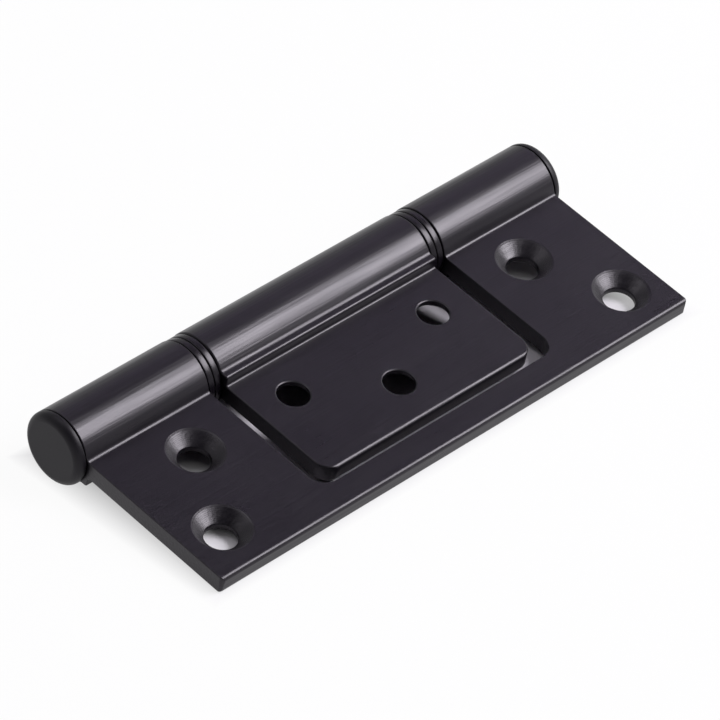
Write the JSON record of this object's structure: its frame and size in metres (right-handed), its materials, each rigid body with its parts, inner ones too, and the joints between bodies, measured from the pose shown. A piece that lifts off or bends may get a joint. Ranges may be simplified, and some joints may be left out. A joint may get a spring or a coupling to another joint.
{
  "type": "ball bearing hinge",
  "caption": "Black door hinge with nested leaves: the inner leaf folds into a notch in the outer leaf on a pinned barrel with thrust ball bearings and round end caps.",
  "frame": {"origin": "middle of the closed hinge's box, which lies on the leaves' middle plane", "axes": "+X along the pin, +Z square to the leaves on the side that shows when closed, +Y from the free edge to the barrel"},
  "size_m": [0.1036, 0.041, 0.012],
  "materials": {
    "black_aluminium": "satin black anodised extrusion",
    "black_steel": "satin black coated steel",
    "cap_plastic": "matte black moulded plastic",
    "pin_steel": "plain ground steel",
    "ball_steel": "polished bearing steel",
    "bush_nylon": "natural nylon",
    "cage_nylon": "natural nylon"
  },
  "bodies": {
    "outer": {"outer_leaf": "black_aluminium", "hinge_pin": "pin_steel", "left_end_cap": "cap_plastic", "right_end_cap": "cap_plastic", "left_bush": "bush_nylon", "right_bush": "bush_nylon", "left_fixed_race": "black_steel", "right_fixed_race": "black_steel"},
    "inner": {"inner_leaf": "black_aluminium", "centre_bush": "bush_nylon", "left_moving_race": "black_steel", "right_moving_race": "black_steel"},
    "left_balls": {"left_ball_cage": "cage_nylon", "left_ball_1": "ball_steel", "left_ball_2": "ball_steel", "left_ball_3": "ball_steel", "left_ball_4": "ball_steel", "left_ball_5": "ball_steel", "left_ball_6": "ball_steel", "left_ball_7": "ball_steel", "left_ball_8": "ball_steel"},
    "right_balls": {"right_ball_cage": "cage_nylon", "right_ball_1": "ball_steel", "right_ball_2": "ball_steel", "right_ball_3": "ball_steel", "right_ball_4": "ball_steel", "right_ball_5": "ball_steel", "right_ball_6": "ball_steel", "right_ball_7": "ball_steel", "right_ball_8": "ball_steel"}
  },
  "joints": [
    {"name": "leaf_swing", "type": "hinge", "parent": "outer", "child": "inner", "pos_m": [0, 0.01455, 0], "axis": [-1, 0, 0], "range_deg": [0, 180]},
    {"name": "left_cage_turn", "type": "hinge", "parent": "outer", "child": "left_balls", "pos_m": [0, 0.01455, 0], "axis": [-1, 0, 0], "range_deg": [0, 90]},
    {"name": "right_cage_turn", "type": "hinge", "parent": "outer", "child": "right_balls", "pos_m": [0, 0.01455, 0], "axis": [-1, 0, 0], "range_deg": [0, 90]}
  ],
  "couplings": [
    {"joint": "left_cage_turn", "follows": "leaf_swing", "ratio": 0.5},
    {"joint": "right_cage_turn", "follows": "leaf_swing", "ratio": 0.5}
  ]
}
